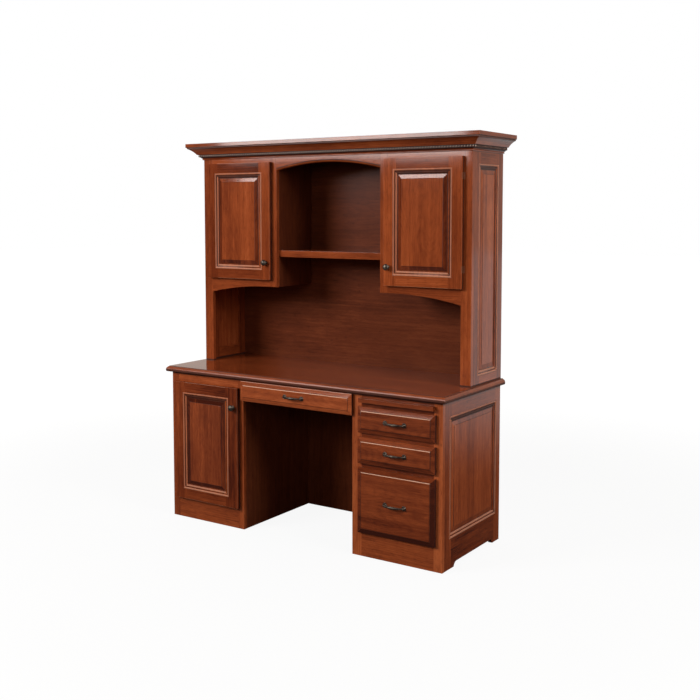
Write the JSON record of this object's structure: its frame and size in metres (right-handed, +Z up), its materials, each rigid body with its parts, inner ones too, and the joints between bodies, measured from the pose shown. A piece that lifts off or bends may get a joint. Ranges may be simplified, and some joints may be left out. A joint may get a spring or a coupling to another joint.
{
  "type": "kneehole credenza desk with hutch",
  "caption": "Kneehole desk with cupboard and drawer pedestals, and a crowned hutch with doors either side of an arched open bay, in dark cherry wood.",
  "frame": {"origin": "floor level, in the middle of the whole object's width and depth", "axes": "+X to the right as seen from the front, +Y towards the back, +Z up"},
  "size_m": [1.674, 0.609, 1.878],
  "materials": {
    "cherry": "satin lacquer",
    "cherry_panel": "satin lacquer",
    "cherry_top": "polished lacquer",
    "cherry_inside": "satin lacquer",
    "drawer_wood": "matt",
    "bronze": "dark rubbed bronze",
    "steel": "zinc plated"
  },
  "bodies": {
    "cabinet": {"desk_top": "cherry_top", "base_end_frames": "cherry", "base_end_panels": "cherry_panel", "pedestal_inner_sides": "cherry_inside", "left_face_frame": "cherry", "right_face_frame": "cherry", "kneehole_rail": "cherry", "base_back_panels": "cherry_inside", "pedestal_floors": "cherry_inside", "pedestal_shelf": "cherry_inside", "top_cleats": "drawer_wood", "case_slide_members": "steel", "slide_packing": "drawer_wood", "writing_board_guides": "drawer_wood", "hutch_end_frames": "cherry", "hutch_end_panels": "cherry_panel", "hutch_face_frame": "cherry", "hutch_dividers": "cherry_inside", "cabinet_floors": "cherry_inside", "hutch_top_board": "cherry_inside", "hutch_back": "cherry_inside", "centre_shelf": "cherry", "cabinet_shelves": "cherry_inside", "shelf_pins": "steel", "hutch_dowels": "drawer_wood", "crown_moulding": "cherry", "rope_bead": "cherry", "hinge_frame_leaves": "bronze"},
    "left_upper_door": {"left_upper_door_frame": "cherry", "left_upper_door_panel": "cherry_panel", "left_upper_door_knob": "bronze", "left_upper_door_hinge_leaves": "bronze"},
    "right_upper_door": {"right_upper_door_frame": "cherry", "right_upper_door_panel": "cherry_panel", "right_upper_door_knob": "bronze", "right_upper_door_hinge_leaves": "bronze"},
    "lower_door": {"lower_door_frame": "cherry", "lower_door_panel": "cherry_panel", "lower_door_knob": "bronze", "lower_door_hinge_leaves": "bronze"},
    "upper_drawer": {"upper_drawer_front": "cherry_panel", "upper_drawer_box": "drawer_wood", "upper_drawer_pull": "bronze", "upper_drawer_slide_members": "steel"},
    "middle_drawer": {"middle_drawer_front": "cherry_panel", "middle_drawer_box": "drawer_wood", "middle_drawer_pull": "bronze", "middle_drawer_slide_members": "steel"},
    "file_drawer": {"file_drawer_front": "cherry_panel", "file_drawer_box": "drawer_wood", "file_drawer_pull": "bronze", "file_drawer_slide_members": "steel"},
    "pencil_drawer": {"pencil_drawer_front": "cherry_panel", "pencil_drawer_box": "drawer_wood", "pencil_drawer_pull": "bronze", "pencil_drawer_slide_members": "steel"},
    "writing_board": {"writing_board": "cherry"},
    "upper_drawer_slides": {"upper_drawer_middle_slides": "steel"},
    "middle_drawer_slides": {"middle_drawer_middle_slides": "steel"},
    "file_drawer_slides": {"file_drawer_middle_slides": "steel"}
  },
  "joints": [
    {"name": "left_upper_door_hinge", "type": "hinge", "parent": "cabinet", "child": "left_upper_door", "pos_m": [-0.7335, -0.00725, 1.485], "axis": [0, 0, -1], "range_deg": [0, 110]},
    {"name": "right_upper_door_hinge", "type": "hinge", "parent": "cabinet", "child": "right_upper_door", "pos_m": [0.7335, -0.00725, 1.485], "axis": [0, 0, 1], "range_deg": [0, 110]},
    {"name": "lower_door_hinge", "type": "hinge", "parent": "cabinet", "child": "lower_door", "pos_m": [-0.7435, -0.25925, 0.3955], "axis": [0, 0, -1], "range_deg": [0, 110]},
    {"name": "upper_drawer_slide", "type": "slide", "parent": "cabinet", "child": "upper_drawer", "axis": [0, -1, 0], "range_m": [0, 0.4]},
    {"name": "middle_drawer_slide", "type": "slide", "parent": "cabinet", "child": "middle_drawer", "axis": [0, -1, 0], "range_m": [0, 0.4]},
    {"name": "file_drawer_slide", "type": "slide", "parent": "cabinet", "child": "file_drawer", "axis": [0, -1, 0], "range_m": [0, 0.4]},
    {"name": "upper_drawer_middle_slide", "type": "slide", "parent": "cabinet", "child": "upper_drawer_slides", "axis": [0, -1, 0], "range_m": [0, 0.2]},
    {"name": "middle_drawer_middle_slide", "type": "slide", "parent": "cabinet", "child": "middle_drawer_slides", "axis": [0, -1, 0], "range_m": [0, 0.2]},
    {"name": "file_drawer_middle_slide", "type": "slide", "parent": "cabinet", "child": "file_drawer_slides", "axis": [0, -1, 0], "range_m": [0, 0.2]},
    {"name": "pencil_drawer_slide", "type": "slide", "parent": "cabinet", "child": "pencil_drawer", "axis": [0, -1, 0], "range_m": [0, 0.3]},
    {"name": "writing_board_slide", "type": "slide", "parent": "cabinet", "child": "writing_board", "axis": [0, -1, 0], "range_m": [0, 0.3]}
  ],
  "couplings": [
    {"joint": "upper_drawer_middle_slide", "follows": "upper_drawer_slide", "ratio": 0.5},
    {"joint": "middle_drawer_middle_slide", "follows": "middle_drawer_slide", "ratio": 0.5},
    {"joint": "file_drawer_middle_slide", "follows": "file_drawer_slide", "ratio": 0.5}
  ]
}
